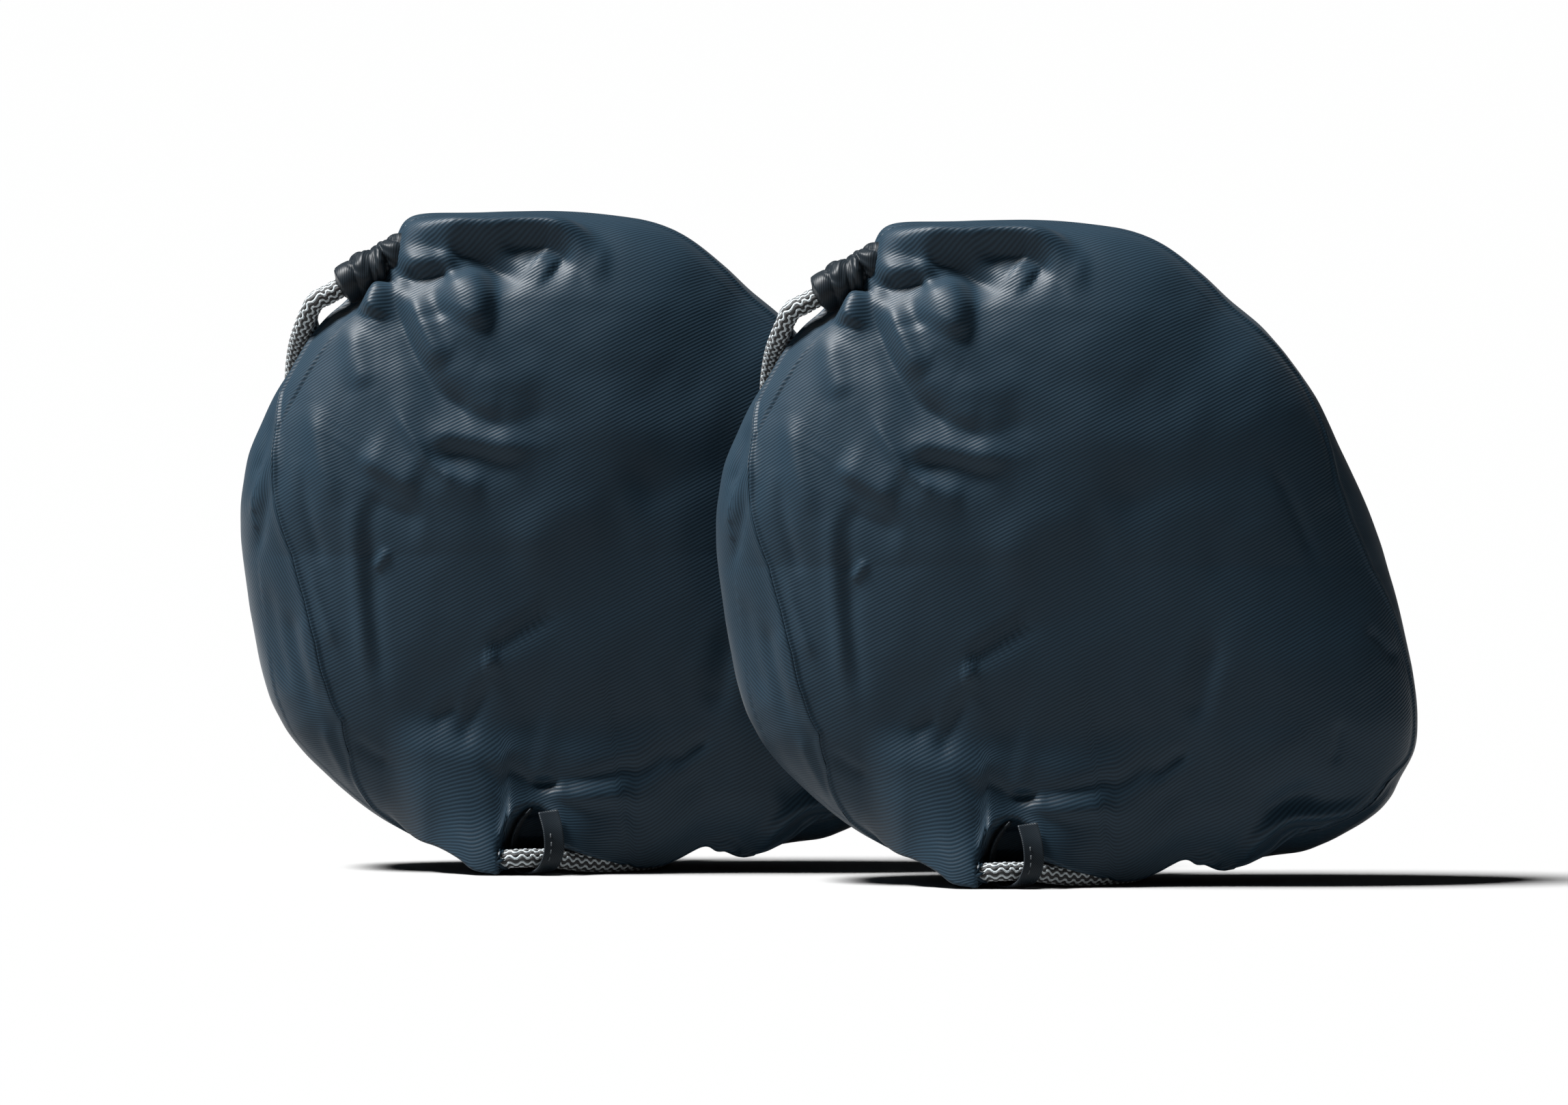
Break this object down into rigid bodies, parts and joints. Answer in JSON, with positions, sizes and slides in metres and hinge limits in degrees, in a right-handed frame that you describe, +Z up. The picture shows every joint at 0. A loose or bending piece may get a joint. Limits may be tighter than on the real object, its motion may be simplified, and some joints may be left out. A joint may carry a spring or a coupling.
{
  "type": "drawstring wheel cover set",
  "caption": "Two round fabric wheel covers, each drawn shut at its mouth by a thick braided drawcord that runs on through a tape loop at the base.",
  "frame": {"origin": "bottom centre of the set of two covers as they stand, without the free drawcords", "axes": "+X to the right along the row of covers, +Y to the back through their thickness, +Z up; the front panels face -Y"},
  "size_m": [0.7436, 0.3548, 0.419],
  "materials": {
    "front_fabric": "satin twill weave, soft sheen",
    "back_fabric": "satin twill weave, soft sheen",
    "seam_fabric": "turned and stitched fabric edge",
    "hem_fabric": "gathered twill hem",
    "cord_braid": "round braid, black with white zigzag tracers",
    "loop_tape": "folded twill tape, stitched"
  },
  "bodies": {
    "right_cover": {"right_front_panel": "front_fabric", "right_back_panel": "back_fabric", "right_seam": "seam_fabric", "right_front_hem": "hem_fabric", "right_back_hem": "hem_fabric", "right_channel_cord": "cord_braid", "right_drawcord": "cord_braid"},
    "right_loop": {"right_cord_loop": "loop_tape"},
    "left_cover": {"left_front_panel": "front_fabric", "left_back_panel": "back_fabric", "left_seam": "seam_fabric", "left_front_hem": "hem_fabric", "left_back_hem": "hem_fabric", "left_channel_cord": "cord_braid", "left_drawcord": "cord_braid"},
    "left_loop": {"left_cord_loop": "loop_tape"}
  },
  "joints": [
    {"name": "left_cover_slide", "type": "slide", "parent": "right_cover", "child": "left_cover", "axis": [-1, 0, 0], "range_m": [0, 0.35]},
    {"name": "right_loop_swing", "type": "hinge", "parent": "right_cover", "child": "right_loop", "pos_m": [0.1218, -0.15125, 0.0425], "axis": [1, 0, 0], "range_deg": [-3, 3]},
    {"name": "left_loop_swing", "type": "hinge", "parent": "left_cover", "child": "left_loop", "pos_m": [-0.1808, 0.00475, 0.0425], "axis": [1, 0, 0], "range_deg": [-3, 3]}
  ]
}
